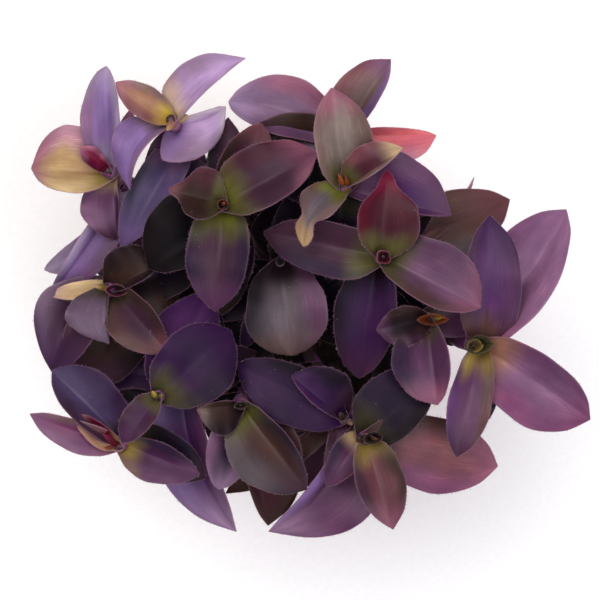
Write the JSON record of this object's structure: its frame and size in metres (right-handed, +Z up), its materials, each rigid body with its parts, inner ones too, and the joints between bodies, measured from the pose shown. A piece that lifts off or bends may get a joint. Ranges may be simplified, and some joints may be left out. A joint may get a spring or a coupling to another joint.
{
  "type": "potted purple heart plant",
  "caption": "Dense low mound of broad, trough-folded purple leaves on jointed leaning stems, in a plain tapered clay pot with a rim band.",
  "frame": {"origin": "centre of the pot's flat underside", "axes": "+Z up along the pot's axis; +Y is the top edge of the picture and +X its right edge, as seen from straight above"},
  "size_m": [0.2815, 0.2431, 0.2117],
  "materials": {
    "leaf": "living succulent leaf and stem, purple with green bases and pink margins, fine hairs, satin",
    "pot": "unglazed fired terracotta, matt",
    "soil": "damp peat-based potting mix, crumbly and matt"
  },
  "bodies": {
    "root": {"leafy_stem_01": "leaf", "leafy_stem_02": "leaf", "leafy_stem_03": "leaf", "leafy_stem_04": "leaf", "leafy_stem_05": "leaf", "leafy_stem_06": "leaf", "leafy_stem_07": "leaf", "leafy_stem_08": "leaf", "leafy_stem_09": "leaf", "leafy_stem_10": "leaf", "leafy_stem_11": "leaf", "leafy_stem_12": "leaf", "leafy_stem_13": "leaf", "leafy_stem_14": "leaf", "leafy_stem_15": "leaf", "pot": "pot", "soil": "soil"}
  },
  "joints": []
}
